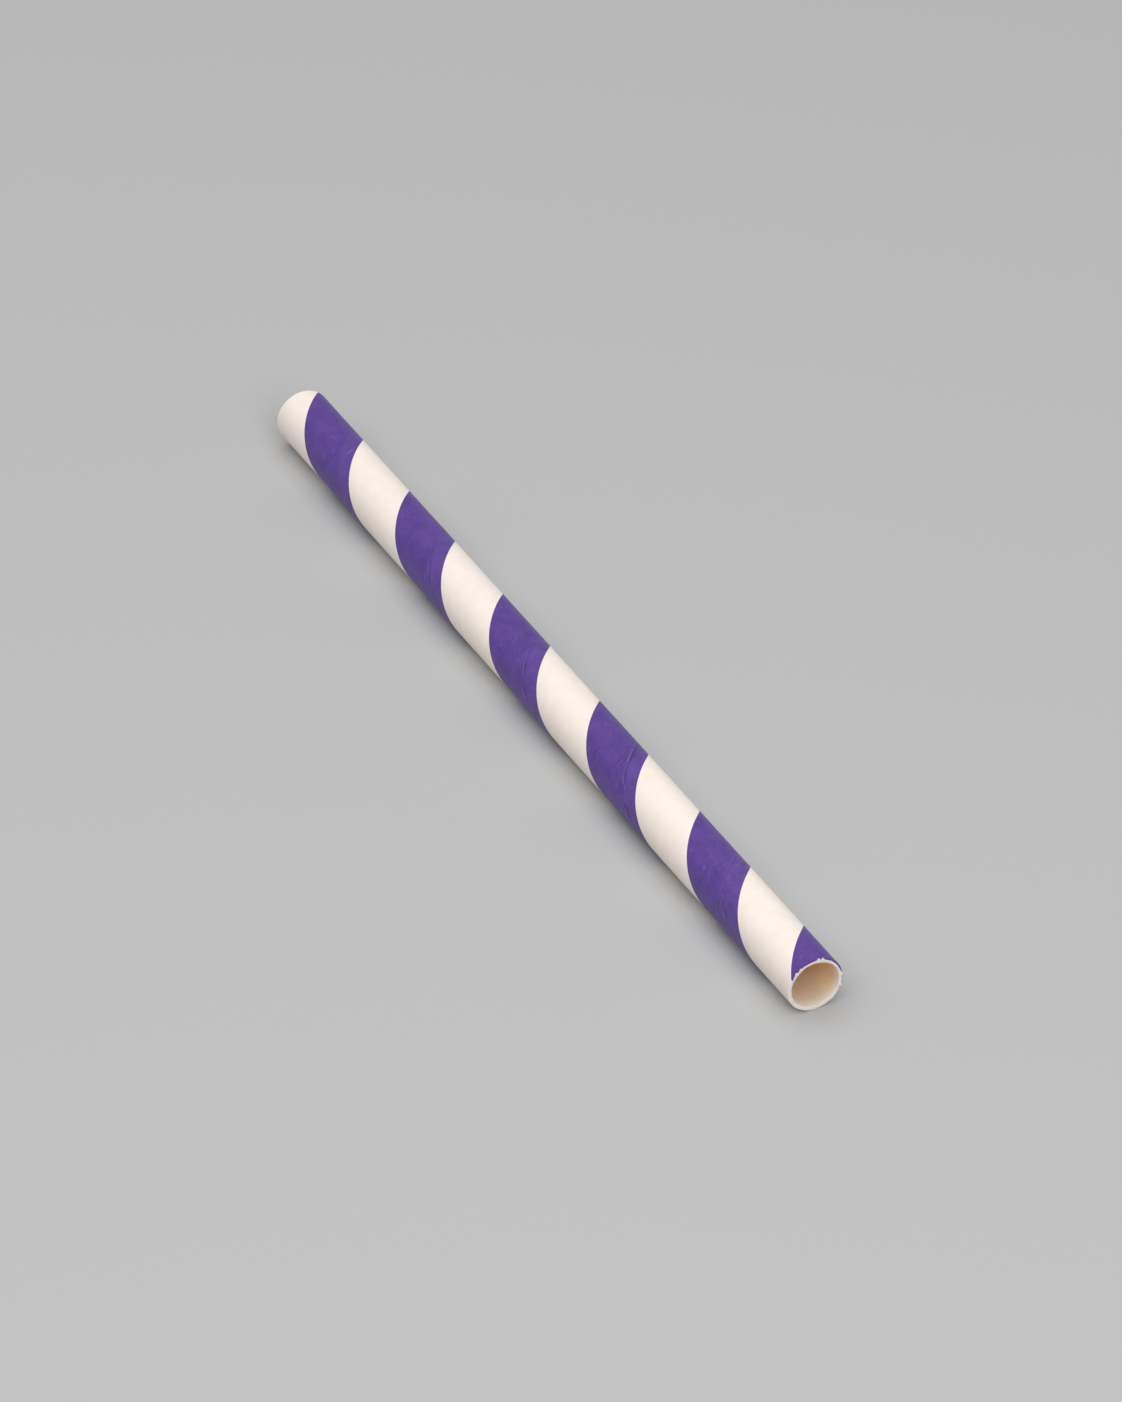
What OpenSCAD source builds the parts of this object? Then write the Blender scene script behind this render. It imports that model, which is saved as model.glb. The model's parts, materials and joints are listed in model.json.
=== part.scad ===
// Paper drinking straw, wound from glued paper tapes, with one purple and one white stripe.
// It lies on its side along X, on the plane z = 0. Its far end is at -X and its near end at +X.

/* [Tube] */
// Length from one cut end to the other
length = 197; // [80:1:260]
// Diameter over the outer tape
outer_d = 10.5; // [6:0.1:14]
// Thickness of the wound and glued wall
wall = 0.7; // [0.3:0.05:0.9]

/* [Winding] */
// Angle in degrees between the tapes' edges and the straw's axis
wind_angle = 41.5; // [30:0.5:60]
// Depth of the seam, which is the outer tape's thickness
seam_depth = 0.1; // [0.05:0.01:0.2]
// Width of the seam between one turn of the outer tape and the next
seam_w = 0.2; // [0.1:0.05:0.5]
// Place of the seam across the purple stripe, counted from the edge nearer the far end
seam_place = 0.75; // [0.1:0.05:0.9]

/* [Stripes] */
// Share of each turn that is purple
purple_share = 0.494; // [0.2:0.002:0.8]
// Share of a turn along the top from the far end to the first purple
purple_start = 0.11; // [0:0.01:0.5]

/* [Cut ends] */
// Radius of the outer corner, which the blade turns over as it cuts
outer_corner_r = 0.2; // [0.05:0.01:0.24]
// Radius of the inner corner
inner_corner_r = 0.05; // [0.02:0.01:0.08]

/* [Hidden] */
white_paper = "#F7EEE2";
purple_print = "#65499A";
outer_r = outer_d / 2;
bore_r = outer_r - wall;
// Length of straw that one turn of the tapes takes
lead = PI * outer_d / tan(wind_angle);
slices_per_turn = 36;
// How far the cutting shapes reach past the wall and past both ends
clear = 2;

// Points of an arc about a centre
function arc(centre, r, from, to, steps) =
    [for (i = [0 : steps]) let (a = from + (to - from) * i / steps) centre + r * [cos(a), sin(a)]];

// Angle round the axis, at the far end, of what reaches the top after a share of a turn
function angle_at_far_end(share) = 180 - 360 * share;

// Section of the wall, radius against height, with its corners rounded
module wall_section() {
    inner_x = bore_r + inner_corner_r;
    outer_x = outer_r - outer_corner_r;
    polygon([
        each arc([inner_x, inner_corner_r], inner_corner_r, 180, 270, 3),
        each arc([outer_x, outer_corner_r], outer_corner_r, 270, 360, 5),
        each arc([outer_x, length - outer_corner_r], outer_corner_r, 0, 90, 5),
        each arc([inner_x, length - inner_corner_r], inner_corner_r, 90, 180, 3)
    ]);
}

module tube() {
    rotate_extrude($fn = 96) wall_section();
}

// A flat outline at the far end, carried up the straw and round it with the tapes
module wound() {
    reach = length + 2 * clear;
    translate([0, 0, -clear])
        rotate(-360 * clear / lead)
            linear_extrude(
                height = reach,
                twist = -360 * reach / lead,
                slices = ceil(slices_per_turn * reach / lead),
                segments = 4,
                convexity = 8
            )
                children();
}

// All that lies under the purple print, from the axis outwards
module purple_sector() {
    from = angle_at_far_end(purple_start + purple_share);
    to = angle_at_far_end(purple_start);
    wound() polygon([[0, 0], each arc([0, 0], outer_r + clear, from, to, 6)]);
}

// The groove between one turn of the outer tape and the next
module seam() {
    middle = angle_at_far_end(purple_start + purple_share * seam_place);
    half_turn = 180 * seam_w / cos(wind_angle) / (PI * outer_d);
    wound() polygon([
        each arc([0, 0], outer_r - seam_depth, middle - half_turn, middle + half_turn, 1),
        each arc([0, 0], outer_r + clear, middle + half_turn, middle - half_turn, 1)
    ]);
}

module white_stripe() {
    difference() {
        tube();
        purple_sector();
    }
}

module purple_stripe() {
    difference() {
        intersection() {
            tube();
            purple_sector();
        }
        seam();
    }
}

// One piece: the plies are glued into a single wall, and the stripes are print on it
module straw() {
    translate([-length / 2, 0, outer_r])
        rotate([0, 90, 0]) {
            color(white_paper) white_stripe();
            color(purple_print) purple_stripe();
        }
}

straw();
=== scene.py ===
"""A wide paper drinking straw with one purple stripe, lying on a studio floor.

The wall is swept along the winding of its paper tape, so its edges follow the seam. The print is
laid out in the tape's own coordinates, and the cut ends are turned over as a blade leaves them.
"""

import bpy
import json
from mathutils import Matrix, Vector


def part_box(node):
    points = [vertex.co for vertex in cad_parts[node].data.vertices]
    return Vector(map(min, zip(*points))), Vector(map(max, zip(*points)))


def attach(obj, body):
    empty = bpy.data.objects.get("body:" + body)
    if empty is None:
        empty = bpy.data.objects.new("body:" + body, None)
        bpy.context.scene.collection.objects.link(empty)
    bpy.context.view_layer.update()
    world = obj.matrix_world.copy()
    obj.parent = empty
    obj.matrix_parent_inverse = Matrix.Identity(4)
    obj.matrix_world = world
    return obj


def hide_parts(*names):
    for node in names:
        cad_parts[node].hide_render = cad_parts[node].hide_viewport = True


bl_info = {
    "name": "Paper Drinking Straw",
    "version": (1, 0, 0),
    "blender": (4, 5, 0),
    "location": "3D Viewport > Sidebar > Straw",
    "description": "Winds a striped paper drinking straw and sets it on a plain studio floor",
    "category": "Add Mesh",
}

import json
import math
import random
from collections import defaultdict

import bmesh
import bpy
from bpy.props import FloatProperty, FloatVectorProperty, IntProperty, PointerProperty
from mathutils import Matrix, Vector, noise

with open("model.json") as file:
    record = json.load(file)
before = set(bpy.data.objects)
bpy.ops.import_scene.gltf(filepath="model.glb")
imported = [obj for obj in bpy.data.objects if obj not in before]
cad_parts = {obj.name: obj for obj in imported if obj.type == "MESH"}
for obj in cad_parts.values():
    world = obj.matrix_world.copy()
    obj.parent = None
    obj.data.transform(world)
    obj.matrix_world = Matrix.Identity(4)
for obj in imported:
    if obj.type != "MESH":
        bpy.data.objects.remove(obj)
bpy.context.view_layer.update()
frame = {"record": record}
LOW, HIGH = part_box("straw")
MOUNTS = {mount["name"]: mount["dims"] for mount in frame["record"]["mounts"]}

MM = 0.001
AXIS = Vector((1.0, 0.0, 0.0))
PIECE = "paper_straw"
# The UV map in which the tape lies flat
TAPE_UV = "tape"
# Vertex attribute: toward 1 where the ink is rubbed off and a painted highlight lies, toward -1
# where painted shade lies in the seam's groove and beside creases
WEAR_LIGHT_AND_SHADE = "wear_light_and_shade"
# Vertex attribute: 1 where the print is torn back from a cut
BARE = "bare"
# The straw's materials, in the order in which it gets them
PRINT, CUT, INSIDE = range(3)


def srgb(code):
    """Turns a colour written as #RRGGBB into the linear colour that a socket takes."""
    parts = [int(code[i : i + 2], 16) / 255 for i in (1, 3, 5)]
    linear = [c / 12.92 if c <= 0.04045 else ((c + 0.055) / 1.055) ** 2.4 for c in parts]
    return (*linear, 1.0)


def smooth(start, end, value):
    """0 up to the start, 1 from the end on and a soft step between them, in either direction."""
    t = min(max((value - start) / (end - start), 0.0), 1.0)
    return t * t * (3 - 2 * t)


def hump(value, width):
    """A bell of height 1 about 0."""
    return math.exp(-((value / width) ** 2))


def uneven(point, size, row=0.0):
    """A random value at a point, which changes over a size in mm. Each row has its own pattern."""
    return noise.noise(point / (size * MM) + Vector((0.0, 0.0, row)))


def wander(x, size, row):
    """A random value along the straw, which changes over a size in mm."""
    return noise.noise(Vector((x / (size * MM), row, 0.0)))


# Sizes and colours


def length_property(name, text, default):
    """A length in metres."""
    return FloatProperty(
        name=name, description=text, default=default, subtype="DISTANCE", unit="LENGTH"
    )


def angle_property(name, text, degrees):
    """An angle, given in degrees and kept in radians."""
    return FloatProperty(
        name=name,
        description=text,
        default=math.radians(degrees),
        subtype="ANGLE",
        unit="ROTATION",
    )


def share_property(name, text, default):
    """A share of a whole."""
    return FloatProperty(
        name=name, description=text, default=default, subtype="FACTOR", min=0.0, max=1.0
    )


def power_property(name, text, default):
    """A lamp's power in watts."""
    return FloatProperty(name=name, description=text, default=default, unit="POWER", min=0.0)


def colour_property(name, text, code):
    """A colour, given as #RRGGBB and kept linear."""
    return FloatVectorProperty(
        name=name,
        description=text,
        default=srgb(code),
        subtype="COLOR",
        size=4,
        min=0.0,
        max=1.0,
    )


def corner_beyond(mount):
    """Radius of the corner between the end of a mount's straight wall and the cut."""
    return (HIGH.x - LOW.x - MOUNTS[mount]["length_mm"] * MM) / 2


class StrawSizes(bpy.types.PropertyGroup):
    """Sizes of the wound tube, its seam, its print and its cut ends"""

    length: length_property("Length", "From one cut end to the other", HIGH.x - LOW.x)
    outer_d: length_property("Diameter", "Over the outer tape", HIGH.z - LOW.z)
    bore_r: length_property(
        "Bore radius", "Of the hole through the straw", MOUNTS["bore"]["r_mm"] * MM
    )
    wind_angle: angle_property(
        "Winding angle", "Between the tape's edges and the straw's axis", 41.5
    )
    purple_share: share_property("Purple share", "Share of each turn that is purple", 0.494)
    purple_start: share_property(
        "Purple start",
        "Share of a turn along the top from the far end to the first purple",
        0.11,
    )
    seam_place: share_property(
        "Seam place",
        "Place of the seam across the purple, from the edge nearer the far end",
        0.75,
    )
    seam_depth: length_property(
        "Seam depth", "Depth of the groove where the tape's turns meet", 0.1 * MM
    )
    seam_w: length_property("Seam width", "Width of that groove", 0.2 * MM)
    seam_lift: length_property(
        "Seam lift", "Rise of the tape's edge beside the groove", 0.09 * MM
    )
    outer_corner_r: length_property(
        "Outer corner", "Radius of the cut end's outer corner", corner_beyond("outer_wall")
    )
    inner_corner_r: length_property(
        "Inner corner", "Radius of the cut end's inner corner", corner_beyond("bore")
    )
    ragged: length_property(
        "Ragged edge", "How far the cut edge strays from a plane", 0.06 * MM
    )
    torn: length_property(
        "Torn print", "How far the print is torn back from the cut edge", 0.15 * MM
    )
    creases: IntProperty(
        name="Creases", description="Small creases in the printed tape", default=230
    )
    plies: IntProperty(
        name="Plies",
        description="Tapes of paper in the wall, from the bore outwards",
        default=3,
    )


class StrawColours(bpy.types.PropertyGroup):
    """Colours of the paper and its print, and of the painted highlight and painted shade on it"""

    white: colour_property("White paper", "Uncoated white paper of the outer tape", "#F8EDE4")
    white_deep: colour_property(
        "White paper, deep", "The same paper where its fibres lie denser", "#F3E7DC"
    )
    purple: colour_property("Purple print", "Ink where it lies full", "#4A2A83")
    purple_light: colour_property(
        "Purple print, light", "Ink where the paper took less of it", "#5A3993"
    )
    # Rubbed ink on crease tops, and painted highlight on the lit wall of the seam's groove and the
    # lit side of creases
    worn_and_highlight: colour_property("Worn print and painted highlight", "Ink rubbed off a crease's top, with painted highlight beside the seam and creases", "#9A86C8")
    # Painted shade: the dark line in the seam's groove and beside creases, where shade falls
    painted_shade: colour_property(
        "Painted shade", "Painted shade in the seam's groove and beside a crease", "#2C1957"
    )
    cut: colour_property("Cut paper", "The cut edge of the wall", "#F8EEE7")
    # Glue lines between plies, and painted shade in the hollows between fibre tufts
    cut_glue_and_hollow_shade: colour_property(
        "Cut paper, deep", "The cut edge between its fibres and plies", "#E4D4CA"
    )
    inside: colour_property("Inner paper", "The inner tape, seen down the bore", "#FBD5B7")
    # Painted light: the inner tape just inside a cut, where light falls in through the mouth
    inside_painted_light: colour_property(
        "Inner paper, painted light", "The same tape just inside a cut", "#FAE9D7"
    )
    inside_deep: colour_property(
        "Inner paper, deep", "The same tape where its turns meet", "#D9BE9E"
    )


class StageSettings(bpy.types.PropertyGroup):
    """Floor, lamps and camera"""

    floor: colour_property("Floor", "Plain pale floor", "#B9B9B9")
    overhead_power: power_property("Overhead lamp", "Power of the lamp over the straw", 12.0)
    front_power: power_property("Front lamp", "Power of the lamp before the near cut", 5.0)
    sky_level: FloatProperty(
        name="Sky", description="Strength of the even light from all round", default=0.29, min=0.0
    )
    camera_azimuth: angle_property("Azimuth", "Of the camera, round the straw", -27.356)
    camera_elevation: angle_property("Elevation", "Of the camera, above the floor", 35.049)
    camera_distance: length_property("Distance", "From the camera to the straw", 1.5503)
    camera_lens: FloatProperty(
        name="Lens",
        description="Focal length for a sensor 36 mm high",
        default=226.25,
        subtype="DISTANCE_CAMERA",
    )


# The wound tube


class Winding:
    """What follows from the sizes, in metres: the course of the tape round the straw's axis."""

    def __init__(self, sizes):
        self.length = sizes.length
        self.half = sizes.length / 2
        self.radius = sizes.outer_d / 2
        self.bore_r = sizes.bore_r
        self.centre = Vector((0.0, 0.0, self.radius))
        self.cos = math.cos(sizes.wind_angle)
        self.tan = math.tan(sizes.wind_angle)
        self.lead = math.tau * self.radius / self.tan
        self.tape_width = self.lead * math.sin(sizes.wind_angle)
        self.seam_turn = sizes.purple_start + sizes.purple_share * sizes.seam_place
        self.purple_half = sizes.purple_share / 2
        # Middle of the purple, as a share of the tape's width from its seam
        self.purple_middle = (0.5 - sizes.seam_place) * sizes.purple_share

    def turns(self, point):
        """How many turns round the axis, from the top, a point lies."""
        return math.atan2(-point.y, point.z - self.radius) / math.tau

    def share(self, point):
        """Place across the tape, as a share of its width from the seam."""
        return ((point.x + self.half) / self.lead - self.turns(point) - self.seam_turn) % 1.0

    def along(self, point, share):
        """Distance along the tape from the far end."""
        return (point.x + self.half) / self.cos - share * self.tape_width * self.tan

    def outwards(self, point):
        """Unit direction away from the straw's axis."""
        return Vector((0.0, point.y, point.z - self.radius)).normalized()


# Vertices closer than this become one
MERGE = 0.004 * MM
# Vertices that differ less than this along the straw lie in one ring
SAME_RING = 0.01 * MM
# Spacing of the wall's vertices across the tape in mm: within each distance of the seam, and in
# the rest of the purple and of the white
SEAM_SPACING = ((0.35, 0.07), (1.1, 0.15))
PURPLE_SPACING = 0.26
WHITE_SPACING = 0.46
# Stretches along the outer wall and along the bore, each of as many steps
WALL_STEPS = 26
BORE_STEPS = 6
# New vertices on each edge of the rings at the cut ends, for their torn fibres
END_CUTS = 2

# Steps over a cut end: round the outer corner, across the wall's thickness, round the inner lip,
# and the depths of the last rings inside the bore in mm
CORNER_STEPS = 5
EDGE_STEPS = 4
LIP_STEPS = 3
BORE_RINGS = (0.5, 1.2)
# Steps from the outer wall to the furthest that print can reach
PRINT_RINGS = CORNER_STEPS + 1
# Numbers of three rings of an end, from 0 at the first step off the outer wall: where the outer
# corner ends, where the inner lip's rounding starts, and where it ends at the bore
CORNER_RING = CORNER_STEPS - 1
LIP_RING = CORNER_RING + EDGE_STEPS
BORE_RING = LIP_RING + LIP_STEPS


def vertex_spacing(wind, place):
    """Spacing of the wall's vertices in mm at a place across the tape, given as a share."""
    from_seam = min(place, 1 - place) * wind.tape_width
    for reach, spacing in SEAM_SPACING:
        if from_seam < reach * MM:
            return spacing
    white_from = wind.purple_middle + wind.purple_half
    white_to = 1 + wind.purple_middle - wind.purple_half
    return WHITE_SPACING if white_from <= place <= white_to else PURPLE_SPACING


def ring_shares(wind):
    """Places across the tape where a ring gets a vertex, as shares of its width."""
    shares = []
    place = 0.0
    while place < 1.0:
        shares.append(place)
        place += vertex_spacing(wind, place) * MM / wind.tape_width
    return [share / place for share in shares]


def first_ring(mesh, wind, x):
    """A ring of the outer wall at the far end, its vertices set by their place across the tape."""
    shares = ring_shares(wind)
    bmesh.ops.create_circle(mesh, segments=len(shares), radius=wind.radius)
    top = Vector((x, 0.0, wind.radius))
    for vert, share in zip(mesh.verts, shares):
        turns = (x + wind.half) / wind.lead - wind.seam_turn - share
        vert.co = wind.centre + Matrix.Rotation(math.tau * turns, 3, AXIS) @ top
    return mesh.edges[:]


def ring_at(mesh, x):
    """The open edges that lie across the straw at a place along it."""
    return [
        edge
        for edge in mesh.edges
        if edge.is_boundary and abs(edge.verts[0].co.x - x) < SAME_RING
    ]


def sweep(mesh, wind, edges, run, turn, steps):
    """Carries a ring along the axis and round it in as many stretches of steps.

    One stretch is spun and then repeated, which is much quicker than one long spin. It gives the
    last ring. Parts are listed by the keys of a dict, which keep their order, as those of a set
    would not.
    """
    verts = list(dict.fromkeys(vert for edge in edges for vert in edge.verts))
    course = {"cent": wind.centre, "axis": AXIS, "use_merge": False}
    before = set(mesh.faces)
    bmesh.ops.spin(
        mesh,
        geom=verts + edges,
        dvec=AXIS * (run / steps**2),
        angle=turn / steps,
        steps=steps,
        use_duplicate=False,
        **course,
    )
    stretch = [face for face in mesh.faces if face not in before]
    parts = dict.fromkeys(
        part for face in stretch for part in (face, *face.verts, *face.edges)
    )
    reach = verts[0].co.x + run
    bmesh.ops.spin(
        mesh,
        geom=list(parts),
        dvec=AXIS * (run / steps),
        angle=turn * (steps - 1) / steps,
        steps=steps - 1,
        use_duplicate=True,
        **course,
    )
    bmesh.ops.remove_doubles(mesh, verts=mesh.verts, dist=MERGE)
    return ring_at(mesh, reach)


def step_ring(mesh, wind, edges, ratio, run):
    """Extrudes a ring, scales it about the straw's axis and moves it along."""
    made = bmesh.ops.extrude_edge_only(mesh, edges=edges)["geom"]
    new_verts = [item for item in made if isinstance(item, bmesh.types.BMVert)]
    new_edges = [item for item in made if isinstance(item, bmesh.types.BMEdge)]
    to_axis = Matrix.Translation(-wind.centre)
    bmesh.ops.scale(mesh, verts=new_verts, vec=(1.0, ratio, ratio), space=to_axis)
    bmesh.ops.translate(mesh, verts=new_verts, vec=AXIS * run)
    return new_edges, new_verts


def step_over(mesh, wind, ring, profile, outward):
    """Steps a ring over a cut end, and gives the last ring and the vertices of each one."""
    rings = []
    for (depth, radius), (next_depth, next_radius) in zip(profile, profile[1:]):
        run = outward * (depth - next_depth)
        ring, verts = step_ring(mesh, wind, ring, next_radius / radius, run)
        rings.append(verts)
    return ring, rings


def quarter_turn(steps):
    """The angles of the steps over a quarter of a circle."""
    return [math.pi / 2 * i / steps for i in range(steps + 1)]


def end_profile(wind, outer, inner):
    """Steps over a cut end, from the outer wall to the bore: (depth below the cut, radius)."""
    corner = [
        (outer * (1 - math.sin(a)), wind.radius - outer * (1 - math.cos(a)))
        for a in quarter_turn(CORNER_STEPS)
    ]
    start = wind.radius - outer
    end = wind.bore_r + inner
    edge = [(0.0, start + (end - start) * i / EDGE_STEPS) for i in range(1, EDGE_STEPS)]
    lip = [
        (inner * (1 - math.cos(a)), wind.bore_r + inner * (1 - math.sin(a)))
        for a in quarter_turn(LIP_STEPS)
    ]
    return corner + edge + lip + [(depth * MM, wind.bore_r) for depth in BORE_RINGS]


def wind_wall(mesh, wind, profile):
    """Sweeps the closed wall, from the far end's outer corner round to it again.

    It gives the outer wall's vertices and the rings of each end, from the outer corner inwards.
    """
    outer_run = wind.length - 2 * profile[0][0]
    bore_run = wind.length - 2 * profile[-1][0]
    turn = math.tau * outer_run / wind.lead
    ring = first_ring(mesh, wind, -outer_run / 2)
    ring = sweep(mesh, wind, ring, outer_run, turn, WALL_STEPS)
    end_rings = ring + ring_at(mesh, -outer_run / 2)
    bmesh.ops.subdivide_edges(mesh, edges=end_rings, cuts=END_CUTS)
    ring = ring_at(mesh, outer_run / 2)
    wall = mesh.verts[:]
    first = [vert for vert in wall if abs(vert.co.x + outer_run / 2) < SAME_RING]
    ring, near = step_over(mesh, wind, ring, profile, 1)
    ring = sweep(mesh, wind, ring, -bore_run, -(turn % math.tau), BORE_STEPS)
    _, far = step_over(mesh, wind, ring, profile[::-1], -1)
    # The last ring lies on the first one, so the shell closes there
    bmesh.ops.remove_doubles(mesh, verts=far[-1] + first, dist=MERGE)
    return [vert for vert in wall if vert.is_valid], near, far[-2::-1]


# The seam and the creases

# Where the seam gapes: distance from the far end and half length in mm, how wide open it is, and
# how far in mm it strays there toward the near end
SEAM_GAPS = (
    (60.6, 1.1, 0.55, 0.0),
    (65.6, 1.6, 0.7, 0.1),
    (96.3, 1.0, 0.8, 0.0),
    (99.8, 1.2, 0.9, -0.1),
    (104.3, 1.0, 0.6, 0.0),
    (129.8, 2.5, 0.85, 0.75),
    (134.4, 0.6, 0.7, 0.2),
    (138.6, 1.0, 0.8, 0.0),
    (165.2, 2.4, 0.35, 0.1),
    (171.8, 0.6, 0.5, 0.0),
    (174.6, 1.0, 0.9, 0.0),
    (178.4, 1.3, 0.6, 0.0),
)
# How far to each side the seam changes the tape
SEAM_REACH = 4 * MM
# Waves of thin paper: their size and height in mm
PAPER_WAVES = ((6.0, 0.012), (1.6, 0.006))
# Seed of the creases, and the stretches of tape by which they are looked up
CREASE_SEED = 7
STRETCH = 2 * MM


def seam_opening(wind, x):
    """How open the seam is, 0 to 1: nearly closed at the far end, and coming and going."""
    from_far = x + wind.half
    trend = 0.08 + 0.14 * smooth(35 * MM, 90 * MM, from_far)
    come_and_go = 0.5 + 0.6 * wander(from_far, 5, 3.7) + 0.4 * wander(from_far, 1.3, 8.2)
    opening = trend * smooth(0.25, 0.8, come_and_go)
    for place, half, width, _ in SEAM_GAPS:
        away = from_far - place * MM
        if abs(away) < 3 * half * MM:
            opening += width * hump(away, half * MM) * smooth(-0.1, 0.4, come_and_go)
    return min(opening, 1.0)


def seam_drift(wind, x):
    """How far the seam strays sideways, toward the far end, as no tape is laid quite true."""
    drift = 0.3 * wander(x, 13, 9.1) + 0.18 * wander(x, 1.9, 5.3)
    for place, half, _, stray in SEAM_GAPS:
        drift -= stray * hump(x + wind.half - place * MM, 1.6 * half * MM)
    return drift * MM


def seam_relief(sizes, opening, across):
    """Rise of the paper at a distance across the tape from its open seam, and the change of its
    ink's colour there: a painted highlight on the groove's lit wall, a painted shadow in the
    groove, and a strip that took less ink.
    """
    rise = -sizes.seam_depth * opening * hump(across, 0.62 * sizes.seam_w)
    # One edge stands up more than the other
    rise += sizes.seam_lift * opening * hump(across - 0.34 * MM, 0.3 * MM)
    rise += 0.6 * sizes.seam_lift * opening * hump(across + 0.5 * MM, 0.35 * MM)
    # Painted highlight on the groove's lit wall beside it, and painted shadow in the groove
    rub_light_and_shade = 0.6 * opening * hump(across + 0.36 * MM, 0.15 * MM)
    rub_light_and_shade -= 1.1 * opening * hump(across, 0.16 * MM)
    # The strip past the seam took a little less ink
    rub_light_and_shade += 0.07 * smooth(0.0, 0.5 * MM, across) * smooth(3.6 * MM, 2.8 * MM, across)
    return rise, rub_light_and_shade


def lay_creases(wind, count):
    """Small crescent creases in the printed tape, more of them toward the near end."""
    draw = random.Random(CREASE_SEED)
    whole = wind.length / wind.cos
    creases = []
    while len(creases) < count:
        along = draw.uniform(0, whole + wind.lead / wind.cos)
        keep = 0.08 + 0.92 * smooth(0.3 * whole, 0.62 * whole, along)
        across = wind.purple_middle + draw.triangular(-0.92, 0.92, 0.25) * wind.purple_half
        turn = draw.choice((-1, 1)) * draw.triangular(0.0, 1.3, 0.2)
        crease = {
            "along": along,
            "across": across * wind.tape_width,
            "cos": math.cos(turn),
            "sin": math.sin(turn),
            "half": draw.uniform(0.4, 1.3) * MM,
            "width": draw.uniform(0.12, 0.19) * MM,
            "height": draw.uniform(0.02, 0.07) * MM * draw.choice((1, 1, -1)),
            # The ridge's rubbed ink with its painted highlight, and the painted shade in the trough
            # beside it
            "rubbed": draw.uniform(0.2, 1.1),
            "trough_shade": draw.uniform(0.4, 1.8),
            "bow": draw.uniform(-0.45, 0.45) / MM,
        }
        if draw.random() < keep:
            creases.append(crease)
    return creases


def creases_by_stretch(creases):
    """The creases that may reach each stretch of the tape."""
    by_stretch = defaultdict(list)
    for crease in creases:
        for shift in (-1, 0, 1):
            by_stretch[int(crease["along"] // STRETCH) + shift].append(crease)
    return by_stretch


def crease_relief(crease, across, along):
    """Rise of the paper that one crease gives at a place of the tape, and its ink's colour: rubbed
    ink with a painted highlight on the ridge, and painted shade in the trough.
    """
    aside = across - crease["across"]
    ahead = along - crease["along"]
    lengthwise = ahead * crease["cos"] + aside * crease["sin"]
    if abs(lengthwise) >= crease["half"]:
        return 0.0, 0.0
    side = aside * crease["cos"] - ahead * crease["sin"] - crease["bow"] * lengthwise**2
    fade = (1 - (lengthwise / crease["half"]) ** 2) ** 2
    ridge = hump(side, crease["width"]) * fade
    trough = hump(side + 1.7 * crease["width"], crease["width"]) * fade
    rise = crease["height"] * (ridge - 0.6 * trough)
    return rise, crease["rubbed"] * ridge - crease["trough_shade"] * trough


def dress_wall(wind, sizes, verts, wear_light_and_shade):
    """Gives the outer wall its seam, its creases and the faint waves of thin paper."""
    by_stretch = creases_by_stretch(lay_creases(wind, sizes.creases))
    for vert in verts:
        x = vert.co.x
        share = wind.share(vert.co)
        if share > 0.5:
            share -= 1.0
        across = share * wind.tape_width
        along = wind.along(vert.co, share)
        rise = sum(height * MM * uneven(vert.co, size) for size, height in PAPER_WAVES)
        rub_light_and_shade = 0.0
        slide = 0.0
        if abs(across) < SEAM_REACH:
            seam_rise, rub_light_and_shade = seam_relief(sizes, seam_opening(wind, x), across)
            rise += seam_rise
            slide = seam_drift(wind, x) * smooth(2.8 * MM, 0.7 * MM, abs(across))
        for crease in by_stretch.get(int(along // STRETCH), ()):
            raised, rubbed = crease_relief(crease, across, along)
            rise += raised
            rub_light_and_shade += 0.75 * rubbed
        # Kept per vertex: above 0 rubbed ink and painted highlight, below 0 painted shade
        vert[wear_light_and_shade] = min(max(rub_light_and_shade, -1.0), 1.0)
        # All of it fades out toward the cuts, which have a dress of their own
        inside_end = smooth(0.0, 1.5 * MM, wind.half - abs(x))
        slid = Matrix.Rotation(slide * inside_end / (wind.radius * wind.cos), 3, AXIS)
        middle = Vector((x, 0.0, wind.radius))
        out = wind.outwards(vert.co)
        vert.co = middle + slid @ (vert.co - middle + out * rise * inside_end)


# The cut ends

# What the blade left on each cut, each at an angle from the top in degrees and with a half width
# in mm at its end: nibs of torn fibre, with their reach in mm, print rolled a little way over the
# cut, and burrs where the inner lip is pushed into the bore, with their reach in mm
NEAR_TRACES = {
    "nibs": (
        (47, 0.24, 0.24),
        (36, 0.15, 0.30),
        (-6, 0.27, 0.20),
        (-15, 0.30, 0.24),
        (-84, 0.17, 0.55),
        (-95, 0.14, 0.45),
        (-107, 0.22, 0.55),
        (120, 0.08, 0.40),
        (-140, 0.10, 0.30),
    ),
    "rolled": ((-40, 2.1),),
    "burrs": ((-12, 0.2, 3.4), (48, 0.07, 1.6)),
}
FAR_TRACES = {
    "nibs": ((12, 0.08, 0.35), (95, 0.12, 0.3), (-70, 0.1, 0.3), (170, 0.1, 0.35)),
    "rolled": ((130, 2.0),),
    "burrs": ((-150, 0.14, 2.2),),
}


def bell_at(wind, angle, place, half):
    """Height at an angle of a bell round a place in degrees, with a half width in mm."""
    past = (angle - math.radians(place) + math.pi) % math.tau - math.pi
    return hump(past * wind.radius, half * MM)


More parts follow.
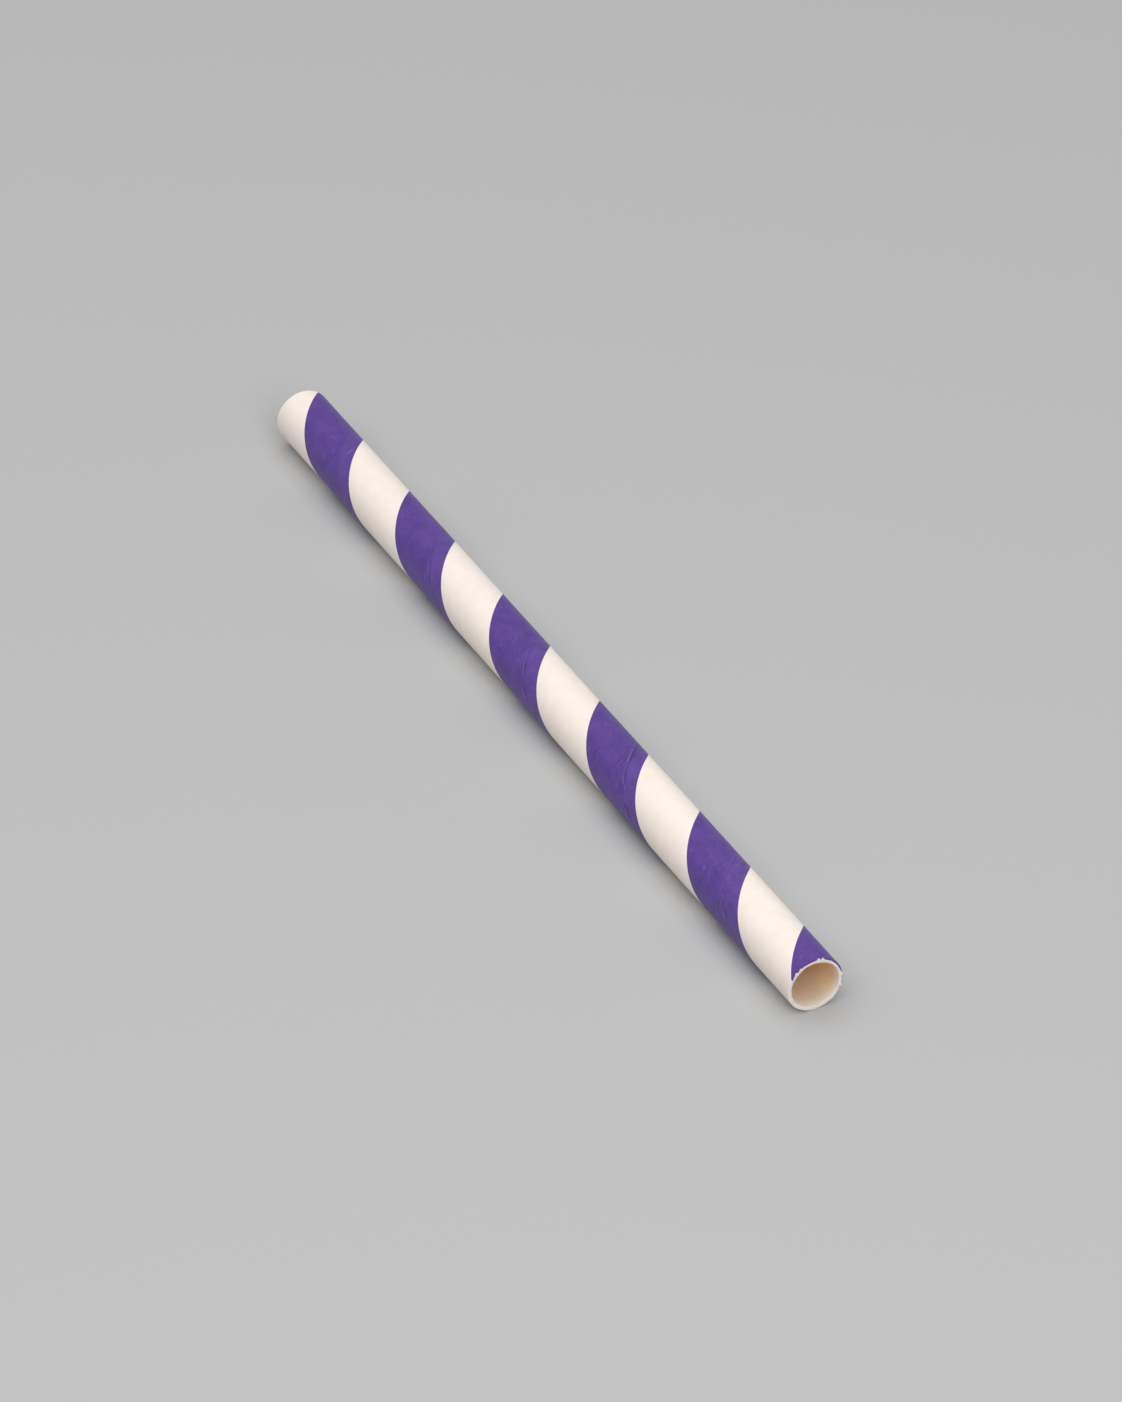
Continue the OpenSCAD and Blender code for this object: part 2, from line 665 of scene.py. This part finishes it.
def dress_end(wind, sizes, rings, profile, traces, outward, bare):
    """Roughens a cut end: the blade leaves a wavy edge, print torn back and a few nibs of fibre."""
    last = len(rings) - 1
    # Way over the rounded corner from each ring to where rolled print ends
    ways = [math.dist(point, profile[PRINT_RINGS]) for point in profile[1 : PRINT_RINGS + 1]]
    ways += [0.0] * (len(rings) - len(ways))
    for level, ring in enumerate(rings):
        height = smooth(0, CORNER_RING, level) * smooth(last + 3, last - 4, level)
        nib_height = smooth(LIP_RING + 1, CORNER_RING, level)
        burr_height = smooth(LIP_RING - 2, LIP_RING + 1, level) * smooth(last, last - 2, level)
        for vert in ring:
            angle = wind.turns(vert.co) * math.tau
            out = wind.outwards(vert.co)
            arc = Vector((math.cos(angle), math.sin(angle), outward)) * wind.radius
            rise = (uneven(arc, 0.9) + 0.6 * uneven(arc, 0.35)) * sizes.ragged
            push = 0.45 * uneven(arc, 0.6, row=5.0) * sizes.ragged
            tear = (uneven(arc, 0.7, row=9.0) - 0.35 + 0.5 * uneven(arc, 0.25)) * sizes.torn
            for place, reach, half in traces["nibs"]:
                nib = reach * MM * bell_at(wind, angle, place, half)
                push += nib * nib_height
                rise += 0.35 * nib
                tear += 0.9 * nib
            rolled = sum(bell_at(wind, angle, place, half) for place, half in traces["rolled"])
            tear += 0.6 * (1 - min(rolled, 1.0)) * ways[CORNER_RING]
            burr = sum(
                reach * MM * bell_at(wind, angle, place, half)
                for place, reach, half in traces["burrs"]
            )
            vert[bare] = smooth(0.0, 0.05 * MM, tear - ways[level])
            vert.co += out * push * height + AXIS * outward * rise * height
            vert.co -= out * burr * burr_height


def assign_papers(mesh, wind, ends):
    """Gives each face its paper: printed outside, plain inside, and cut across the ends."""
    wall_middle = (wind.radius + wind.bore_r) / 2
    for face in mesh.faces:
        middle = face.calc_center_median()
        inner = math.hypot(middle.y, middle.z - wind.radius) < wall_middle
        face.material_index = INSIDE if inner else PRINT
    for rings in ends:
        for ring in rings[PRINT_RINGS:BORE_RING]:
            for vert in ring:
                for face in vert.link_faces:
                    face.material_index = CUT


def lay_out_tape(mesh, wind):
    """Lays every face out in the outer tape's own coordinates, in widths of the tape."""
    layer = mesh.loops.layers.uv.new(TAPE_UV)
    for face in mesh.faces:
        face.smooth = True
        share = wind.share(face.calc_center_median())
        for loop in face.loops:
            point = loop.vert.co
            place = wind.share(point)
            place += round(share - place)
            loop[layer].uv = (place, wind.along(point, place) / wind.tape_width)


def set_in_order(mesh):
    """Puts edges and faces in the order of their vertices, as spin gives another one each run."""
    mesh.verts.index_update()
    count = len(mesh.verts)

    def rank(part):
        first, second, *others = sorted(vert.index for vert in part.verts)
        third = others[0] if others else 0
        return (first * count + second) * count + third

    mesh.edges.sort(key=rank)
    mesh.faces.sort(key=rank)


def build_straw(sizes):
    """The wound wall as one closed mesh."""
    wind = Winding(sizes)
    mesh = bmesh.new()
    wear_light_and_shade = mesh.verts.layers.float.new(WEAR_LIGHT_AND_SHADE)
    bare = mesh.verts.layers.float.new(BARE)
    profile = end_profile(wind, sizes.outer_corner_r, sizes.inner_corner_r)
    wall, near, far = wind_wall(mesh, wind, profile)
    bmesh.ops.recalc_face_normals(mesh, faces=mesh.faces)
    set_in_order(mesh)
    assign_papers(mesh, wind, (near, far))
    lay_out_tape(mesh, wind)
    dress_wall(wind, sizes, wall, wear_light_and_shade)
    dress_end(wind, sizes, near, profile, NEAR_TRACES, 1, bare)
    dress_end(wind, sizes, far, profile, FAR_TRACES, -1, bare)
    # What would reach below the floor is pressed flat on it
    for vert in mesh.verts:
        vert.co.z = max(vert.co.z, 0.0)
    data = bpy.data.meshes.new(PIECE)
    mesh.to_mesh(data)
    mesh.free()
    return data


# Materials

# Paper lets light through for some tenths of a millimetre, and the warm colours a little further,
# so the bore glows tan by what falls on the outside of the wall
LIGHT_THROUGH_PAPER = {"Subsurface Weight": 1.0, "Subsurface Radius": (1.0, 0.78, 0.58)}
PAPER_IOR = 1.5
# Sockets of a Mix node: its factor, its pair of numbers, its pair of colours and the mixed colour
FACTOR = 0
NUMBER_A, NUMBER_B = 2, 3
COLOUR_A, COLOUR_B = 6, 7
COLOUR_OUT = 2


def add_node(tree, kind, inputs=None, **settings):
    """Adds a node, sets it up, and gives its sockets their constants and links."""
    node = tree.nodes.new(kind)
    for name, value in settings.items():
        setattr(node, name, value)
    for key, value in (inputs or {}).items():
        if isinstance(value, bpy.types.NodeSocket):
            tree.links.new(value, node.inputs[key])
        else:
            node.inputs[key].default_value = value
    return node


def new_material(name):
    """A material without nodes, and its tree."""
    material = bpy.data.materials.new(name)
    material.use_nodes = True
    material.node_tree.nodes.clear()
    return material, material.node_tree


def finish_material(tree, sockets):
    """Ends a material in one surface shader with these constants and links."""
    shader = add_node(tree, "ShaderNodeBsdfPrincipled", sockets)
    add_node(tree, "ShaderNodeOutputMaterial", {"Surface": shader.outputs["BSDF"]})


def stripe_ink(tree, wind, tape, place):
    """How much ink lies on the paper, 0 to 1: the purple stripe, less what the blade tore back."""
    # Ink creeps about 0.02 mm along the fibres at the stripe's edges
    creep = 0.02 * MM / wind.tape_width
    stray = add_node(
        tree, "ShaderNodeTexNoise", {"Vector": place, "Scale": 1 / (0.5 * MM), "Detail": 2.0}
    )
    stray = add_node(
        tree,
        "ShaderNodeMapRange",
        {"Value": stray.outputs["Fac"], "To Min": -creep, "To Max": creep},
    )
    # Distance from the middle of the purple, in widths of the tape
    parts = add_node(tree, "ShaderNodeSeparateXYZ", {"Vector": tape})
    shift = (0.5 - wind.purple_middle) % 1.0
    turned = add_node(
        tree, "ShaderNodeMath", {0: parts.outputs["X"], 1: shift}, operation="ADD"
    )
    turned = add_node(tree, "ShaderNodeMath", {0: turned.outputs[0]}, operation="FRACT")
    from_middle = add_node(
        tree, "ShaderNodeMath", {0: turned.outputs[0], 1: 0.5}, operation="SUBTRACT"
    )
    from_middle = add_node(
        tree, "ShaderNodeMath", {0: from_middle.outputs[0]}, operation="ABSOLUTE"
    )
    from_middle = add_node(
        tree,
        "ShaderNodeMath",
        {0: from_middle.outputs[0], 1: stray.outputs["Result"]},
        operation="ADD",
    )
    soft_edge = 0.03 * MM / wind.tape_width
    stripe = add_node(
        tree,
        "ShaderNodeMapRange",
        {
            "Value": from_middle.outputs[0],
            "From Min": wind.purple_half - soft_edge,
            "From Max": wind.purple_half + soft_edge,
            "To Min": 1.0,
            "To Max": 0.0,
        },
        interpolation_type="SMOOTHSTEP",
    )
    bare = add_node(tree, "ShaderNodeAttribute", attribute_name=BARE)
    printed = add_node(
        tree, "ShaderNodeMath", {0: 1.0, 1: bare.outputs["Fac"]}, operation="SUBTRACT"
    )
    ink = add_node(
        tree,
        "ShaderNodeMath",
        {0: stripe.outputs["Result"], 1: printed.outputs[0]},
        operation="MULTIPLY",
        use_clamp=True,
    )
    return ink.outputs[0]


def tape_fibres(tree, wind, tape):
    """Fibres 0.1 mm thick and over 1 mm long, drawn 0.2 mm thick so that they show."""
    width = wind.tape_width
    stretched = add_node(
        tree,
        "ShaderNodeMapping",
        {"Vector": tape, "Scale": (width / (0.2 * MM), width / (1.3 * MM), 1.0)},
    )
    fibres = add_node(
        tree,
        "ShaderNodeTexNoise",
        {
            "Vector": stretched.outputs["Vector"],
            "Scale": 1.0,
            "Detail": 3.0,
            "Roughness": 0.6,
        },
    )
    return fibres.outputs["Fac"]


def ink_take_up(tree, place, fibres):
    """How much ink the paper took, 0 to 1, in blotches about 2.5 mm across and along fibres."""
    blotches = add_node(
        tree,
        "ShaderNodeTexNoise",
        {"Vector": place, "Scale": 1 / (2.5 * MM), "Detail": 3.0, "Roughness": 0.55},
    )
    spread = add_node(
        tree,
        "ShaderNodeMix",
        {FACTOR: 0.3, NUMBER_A: blotches.outputs["Fac"], NUMBER_B: fibres},
        data_type="FLOAT",
    )
    take_up = add_node(
        tree,
        "ShaderNodeMapRange",
        {"Value": spread.outputs[0], "From Min": 0.36, "From Max": 0.64},
    )
    return take_up.outputs["Result"]


def hair_creases(tree, wind, tape, place):
    """Hair creases 0.1 mm wide where the paper was handled, painted as light and shade: above 0 a
    painted lit side, below 0 a painted shaded side.

    Each is the line along which a noise crosses its middle, cut short by a second noise.
    """
    width = wind.tape_width
    handled = add_node(
        tree,
        "ShaderNodeMapping",
        {"Vector": tape, "Scale": (width / (1.5 * MM), width / (2.4 * MM), 1.0)},
    )
    folds = add_node(
        tree,
        "ShaderNodeTexNoise",
        {"Vector": handled.outputs["Vector"], "Scale": 1.0, "Detail": 2.0},
    )
    side = add_node(
        tree,
        "ShaderNodeMapRange",
        {
            "Value": folds.outputs["Fac"],
            "From Min": 0.46,
            "From Max": 0.54,
            "To Min": -2.0,
            "To Max": 2.0,
        },
    )
    from_line = add_node(
        tree, "ShaderNodeMath", {0: side.outputs["Result"]}, operation="ABSOLUTE"
    )
    near_line = add_node(
        tree,
        "ShaderNodeMapRange",
        {
            "Value": from_line.outputs[0],
            "From Min": 0.4,
            "From Max": 1.6,
            "To Min": 1.0,
            "To Max": 0.0,
        },
    )
    patches = add_node(
        tree, "ShaderNodeTexNoise", {"Vector": place, "Scale": 1 / (1.6 * MM), "Detail": 1.0}
    )
    kept = add_node(
        tree,
        "ShaderNodeMapRange",
        {"Value": patches.outputs["Fac"], "From Min": 0.54, "From Max": 0.62},
    )
    hairs = add_node(
        tree,
        "ShaderNodeMath",
        {0: near_line.outputs["Result"], 1: kept.outputs["Result"]},
        operation="MULTIPLY",
    )
    hairs = add_node(
        tree,
        "ShaderNodeMath",
        {0: hairs.outputs[0], 1: side.outputs["Result"]},
        operation="MULTIPLY",
    )
    return hairs.outputs[0]


def printed_paper(sizes, colours):
    """Uncoated kraft-white straw paper, flexo printed.

    The ink soaks into the fibres, so the purple is matt with soft blotches, faint streaks along
    the tape and a greyish bloom at a low angle. The white is nearly plain.
    """
    material, tree = new_material("Flexo_printed_paper")
    wind = Winding(sizes)
    tape = add_node(tree, "ShaderNodeUVMap", uv_map=TAPE_UV).outputs["UV"]
    place = add_node(tree, "ShaderNodeTexCoord").outputs["Object"]
    ink = stripe_ink(tree, wind, tape, place)
    fibres = tape_fibres(tree, wind, tape)
    take_up = ink_take_up(tree, place, fibres)
    purple = add_node(
        tree,
        "ShaderNodeMix",
        {FACTOR: take_up, COLOUR_A: colours.purple, COLOUR_B: colours.purple_light},
        data_type="RGBA",
    )
    creased = add_node(tree, "ShaderNodeAttribute", attribute_name=WEAR_LIGHT_AND_SHADE)
    wear_light_and_shade = add_node(
        tree,
        "ShaderNodeMath",
        {0: hair_creases(tree, wind, tape, place), 1: 0.6, 2: creased.outputs["Fac"]},
        operation="MULTIPLY_ADD",
    )
    # Above 0 the ink is rubbed off and a painted highlight lies, and below 0 lies painted shade
    for strength, tint in ((0.5, colours.worn_and_highlight), (-0.75, colours.painted_shade)):
        amount = add_node(
            tree,
            "ShaderNodeMath",
            {0: wear_light_and_shade.outputs[0], 1: strength},
            operation="MULTIPLY",
            use_clamp=True,
        )
        purple = add_node(
            tree,
            "ShaderNodeMix",
            {
                FACTOR: amount.outputs[0],
                COLOUR_A: purple.outputs[COLOUR_OUT],
                COLOUR_B: tint,
            },
            data_type="RGBA",
        )
    white = add_node(
        tree,
        "ShaderNodeMix",
        {FACTOR: take_up, COLOUR_A: colours.white_deep, COLOUR_B: colours.white},
        data_type="RGBA",
    )
    colour = add_node(
        tree,
        "ShaderNodeMix",
        {
            FACTOR: ink,
            COLOUR_A: white.outputs[COLOUR_OUT],
            COLOUR_B: purple.outputs[COLOUR_OUT],
        },
        data_type="RGBA",
    )
    # Ink smooths the paper a little
    rough = add_node(
        tree, "ShaderNodeMapRange", {"Value": ink, "To Min": 0.85, "To Max": 0.68}
    )
    # Grain of the paper about 0.3 mm across
    grain = add_node(
        tree,
        "ShaderNodeTexNoise",
        {"Vector": place, "Scale": 1 / (0.3 * MM), "Detail": 3.0, "Roughness": 0.6},
    )
    height = add_node(
        tree,
        "ShaderNodeMix",
        {FACTOR: 0.5, NUMBER_A: grain.outputs["Fac"], NUMBER_B: fibres},
        data_type="FLOAT",
    )
    bump = add_node(
        tree,
        "ShaderNodeBump",
        {"Height": height.outputs[0], "Strength": 0.35, "Distance": 0.05 * MM},
    )
    finish_material(
        tree,
        {
            "Base Color": colour.outputs[COLOUR_OUT],
            "Roughness": rough.outputs["Result"],
            "Normal": bump.outputs["Normal"],
            "IOR": PAPER_IOR,
            "Sheen Weight": 0.12,
            "Sheen Roughness": 0.5,
        },
    )
    return material


def cut_paper(sizes, colours):
    """Raw cut edge of glued paper plies: matt and fuzzy, with a faint line of glue between two."""
    material, tree = new_material("Cut_paper_edge")
    place = add_node(tree, "ShaderNodeTexCoord").outputs["Object"]
    # Tufts of fibre about 0.25 mm across
    tufts = add_node(
        tree,
        "ShaderNodeTexNoise",
        {"Vector": place, "Scale": 1 / (0.25 * MM), "Detail": 3.0, "Roughness": 0.65},
    )
    radius = sizes.outer_d / 2
    ply = (radius - sizes.bore_r) / sizes.plies
    across = add_node(
        tree,
        "ShaderNodeMapping",
        {"Vector": place, "Location": (0.0, 0.0, -radius), "Scale": (0.0, 1.0, 1.0)},
    )
    from_axis = add_node(
        tree, "ShaderNodeVectorMath", {0: across.outputs["Vector"]}, operation="LENGTH"
    )
    # The plies are a little uneven, by a sixth of one
    stray = add_node(
        tree,
        "ShaderNodeMapRange",
        {"Value": tufts.outputs["Fac"], "To Min": -ply / 6, "To Max": ply / 6},
    )
    from_axis = add_node(
        tree,
        "ShaderNodeMath",
        {0: from_axis.outputs["Value"], 1: stray.outputs["Result"]},
        operation="ADD",
    )
    # Counted in plies from the bore, and folded at each glue line
    plies = add_node(
        tree,
        "ShaderNodeMapRange",
        {
            "Value": from_axis.outputs[0],
            "From Min": sizes.bore_r,
            "From Max": radius,
            "To Max": float(sizes.plies),
        },
    )
    from_glue = add_node(
        tree, "ShaderNodeMath", {0: plies.outputs["Result"], 1: 0.5}, operation="PINGPONG"
    )
    sunk = add_node(
        tree,
        "ShaderNodeMapRange",
        {"Value": from_glue.outputs[0], "From Max": 0.16, "To Max": 0.45},
    )
    height = add_node(
        tree,
        "ShaderNodeMath",
        {0: tufts.outputs["Fac"], 1: sunk.outputs["Result"]},
        operation="ADD",
    )
    raised = add_node(
        tree,
        "ShaderNodeMapRange",
        {"Value": height.outputs[0], "From Min": 0.5, "From Max": 1.0},
    )
    # Darker where the height is low: at the glue lines between plies, and as painted shade in the
    # hollows between tufts
    colour = add_node(
        tree,
        "ShaderNodeMix",
        {
            FACTOR: raised.outputs["Result"],
            COLOUR_A: colours.cut_glue_and_hollow_shade,
            COLOUR_B: colours.cut,
        },
        data_type="RGBA",
    )
    bump = add_node(
        tree,
        "ShaderNodeBump",
        {"Height": height.outputs[0], "Strength": 0.6, "Distance": 0.06 * MM},
    )
    finish_material(
        tree,
        {
            "Base Color": colour.outputs[COLOUR_OUT],
            "Roughness": 0.95,
            "Normal": bump.outputs["Normal"],
            "IOR": PAPER_IOR,
            "Subsurface Scale": 0.5 * MM,
            **LIGHT_THROUGH_PAPER,
        },
    )
    return material


def inner_paper(sizes, colours):
    """Plain inner tape: uncoated, warmer than the outer one, and warmer still by its reflections,
    with painted light just inside each cut.

    Its turns meet half a tape's width away from the outer seam.
    """
    material, tree = new_material("Uncoated_inner_paper")
    place = add_node(tree, "ShaderNodeTexCoord").outputs["Object"]
    # Cloudy formation of cheap paper, about 1.2 mm across
    clouds = add_node(
        tree,
        "ShaderNodeTexNoise",
        {"Vector": place, "Scale": 1 / (1.2 * MM), "Detail": 4.0, "Roughness": 0.6},
    )
    bright = add_node(
        tree,
        "ShaderNodeMapRange",
        {
            "Value": clouds.outputs["Fac"],
            "From Min": 0.3,
            "From Max": 0.7,
            "To Min": 0.96,
            "To Max": 1.02,
        },
    )
    # Painted light: the first 2 mm inside each cut are paler, where light falls in through the
    # mouth
    parts = add_node(tree, "ShaderNodeSeparateXYZ", {"Vector": place})
    from_middle = add_node(
        tree, "ShaderNodeMath", {0: parts.outputs["X"]}, operation="ABSOLUTE"
    )
    half = sizes.length / 2
    near_cut_light = add_node(
        tree,
        "ShaderNodeMapRange",
        {
            "Value": from_middle.outputs[0],
            "From Min": half - 2.4 * MM,
            "From Max": half - 0.3 * MM,
        },
    )
    plain = add_node(
        tree,
        "ShaderNodeMix",
        {
            FACTOR: near_cut_light.outputs["Result"],
            COLOUR_A: colours.inside,
            COLOUR_B: colours.inside_painted_light,
        },
        data_type="RGBA",
    )
    cloudy = add_node(
        tree,
        "ShaderNodeVectorMath",
        {0: plain.outputs[COLOUR_OUT], "Scale": bright.outputs["Result"]},
        operation="SCALE",
    )
    tape = add_node(tree, "ShaderNodeUVMap", uv_map=TAPE_UV).outputs["UV"]
    across = add_node(tree, "ShaderNodeSeparateXYZ", {"Vector": tape})
    from_seam = add_node(
        tree, "ShaderNodeMath", {0: across.outputs["X"], 1: 0.5}, operation="ADD"
    )
    from_seam = add_node(
        tree, "ShaderNodeMath", {0: from_seam.outputs[0], 1: 0.5}, operation="PINGPONG"
    )
    seam = add_node(
        tree,
        "ShaderNodeMapRange",
        {
            "Value": from_seam.outputs[0],
            "From Max": 0.12 * MM / Winding(sizes).tape_width,
            "To Min": 1.0,
            "To Max": 0.0,
        },
    )
    colour = add_node(
        tree,
        "ShaderNodeMix",
        {
            FACTOR: seam.outputs["Result"],
            COLOUR_A: cloudy.outputs["Vector"],
            COLOUR_B: colours.inside_deep,
        },
        data_type="RGBA",
    )
    height = add_node(
        tree,
        "ShaderNodeMath",
        {0: clouds.outputs["Fac"], 1: seam.outputs["Result"]},
        operation="SUBTRACT",
    )
    bump = add_node(
        tree,
        "ShaderNodeBump",
        {"Height": height.outputs[0], "Strength": 0.3, "Distance": 0.05 * MM},
    )
    finish_material(
        tree,
        {
            "Base Color": colour.outputs[COLOUR_OUT],
            "Roughness": 0.9,
            "Normal": bump.outputs["Normal"],
            "IOR": PAPER_IOR,
            "Subsurface Scale": 1.8 * MM,
            **LIGHT_THROUGH_PAPER,
        },
    )
    return material


# Stage

# Half the side of the floor, in metres
FLOOR_REACH = 6.0
# Side and place of each square lamp in metres, and what the front one is turned to
OVERHEAD_SIDE = 1.7
OVERHEAD_PLACE = Vector((0.0, -0.16, 1.0))
FRONT_SIDE = 0.6
FRONT_PLACE = Vector((1.02, -0.15, 0.776))
NEAR_CUT = Vector((HIGH.x, 0.0, 5 * MM))
# What the camera looks at, close to the straw's middle
CAMERA_AIM = Vector((5.12, 0.12, 5.32)) * MM
SENSOR_HEIGHT = 36.0
CLIP_START = 0.05


def turned_to(direction):
    """The rotation that makes a lamp or a camera look in a direction, upright."""
    return direction.to_track_quat("-Z", "Y").to_euler()


def add_floor(stage):
    """Lays a floor of studio card: matt, pale and even, so it takes soft shadows and no gloss."""
    mesh = bmesh.new()
    bmesh.ops.create_grid(mesh, x_segments=1, y_segments=1, size=FLOOR_REACH)
    data = bpy.data.meshes.new("floor")
    mesh.to_mesh(data)
    mesh.free()
    material, tree = new_material("Matt_pale_floor")
    finish_material(
        tree, {"Base Color": stage.floor, "Roughness": 1.0, "Specular IOR Level": 0.0}
    )
    data.materials.append(material)
    floor = bpy.data.objects.new("floor", data)
    bpy.context.scene.collection.objects.link(floor)


def add_lamp(name, side, watts, place, target):
    """Hangs a square soft lamp at a place and turns it to its target."""
    lamp = bpy.data.lights.new(name, "AREA")
    lamp.shape = "SQUARE"
    lamp.size = side
    lamp.energy = watts
    lit = bpy.data.objects.new(name, lamp)
    lit.location = place
    lit.rotation_euler = turned_to(target - place)
    bpy.context.scene.collection.objects.link(lit)


def add_sky(level):
    """Lights the scene evenly from all round."""
    world = bpy.data.worlds.new("studio")
    world.use_nodes = True
    tree = world.node_tree
    tree.nodes.clear()
    white = (1.0, 1.0, 1.0, 1.0)
    sky = add_node(tree, "ShaderNodeBackground", {"Color": white, "Strength": level})
    add_node(tree, "ShaderNodeOutputWorld", {"Surface": sky.outputs["Background"]})
    bpy.context.scene.world = world


def add_camera(stage, target):
    """Sets the camera up at its angles and distance from the target."""
    data = bpy.data.cameras.new("camera")
    data.sensor_fit = "VERTICAL"
    data.sensor_height = SENSOR_HEIGHT
    data.lens = stage.camera_lens
    data.clip_start = CLIP_START
    flat = math.cos(stage.camera_elevation)
    back = Vector(
        (
            flat * math.cos(stage.camera_azimuth),
            flat * math.sin(stage.camera_azimuth),
            math.sin(stage.camera_elevation),
        )
    )
    camera = bpy.data.objects.new("camera", data)
    camera.location = target + back * stage.camera_distance
    camera.rotation_euler = turned_to(-back)
    bpy.context.scene.collection.objects.link(camera)
    bpy.context.scene.camera = camera


# Operators and panel


class STRAW_OT_wind(bpy.types.Operator):
    """Wind the paper straw and print its stripe"""

    bl_idname = "straw.wind"
    bl_label = "Wind Paper Straw"

    def execute(self, context):
        sizes = context.scene.straw_sizes
        colours = context.scene.straw_colours
        data = build_straw(sizes)
        for make in (printed_paper, cut_paper, inner_paper):
            data.materials.append(make(sizes, colours))
        straw = bpy.data.objects.new(PIECE, data)
        context.scene.collection.objects.link(straw)
        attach(straw, "root")
        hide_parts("straw")
        return {"FINISHED"}


class STRAW_OT_stage(bpy.types.Operator):
    """Set up the floor, the lamps and the camera"""

    bl_idname = "straw.stage"
    bl_label = "Set Up Stage"

    def execute(self, context):
        stage = context.scene.straw_stage
        context.scene.view_settings.view_transform = "Standard"
        add_floor(stage)
        add_lamp("overhead", OVERHEAD_SIDE, stage.overhead_power, OVERHEAD_PLACE, Vector())
        add_lamp("front", FRONT_SIDE, stage.front_power, FRONT_PLACE, NEAR_CUT)
        add_sky(stage.sky_level)
        add_camera(stage, CAMERA_AIM)
        return {"FINISHED"}


class STRAW_PT_panel(bpy.types.Panel):
    """Lists the straw's operators and settings"""

    bl_label = "Paper Straw"
    bl_space_type = "VIEW_3D"
    bl_region_type = "UI"
    bl_category = "Straw"

    def draw(self, context):
        layout = self.layout
        layout.operator(STRAW_OT_wind.bl_idname)
        layout.operator(STRAW_OT_stage.bl_idname)
        scene = context.scene
        for group in (scene.straw_sizes, scene.straw_colours, scene.straw_stage):
            column = layout.column()
            for name in group.bl_rna.properties.keys():
                if name not in ("rna_type", "name"):
                    column.prop(group, name)


CLASSES = (
    StrawSizes,
    StrawColours,
    StageSettings,
    STRAW_OT_wind,
    STRAW_OT_stage,
    STRAW_PT_panel,
)


def register():
    for cls in CLASSES:
        bpy.utils.register_class(cls)
    bpy.types.Scene.straw_sizes = PointerProperty(type=StrawSizes)
    bpy.types.Scene.straw_colours = PointerProperty(type=StrawColours)
    bpy.types.Scene.straw_stage = PointerProperty(type=StageSettings)


def unregister():
    del bpy.types.Scene.straw_stage
    del bpy.types.Scene.straw_colours
    del bpy.types.Scene.straw_sizes
    for cls in reversed(CLASSES):
        bpy.utils.unregister_class(cls)


def main():
    register()
    bpy.ops.straw.wind()
    bpy.ops.straw.stage()


if __name__ == "__main__":
    main()
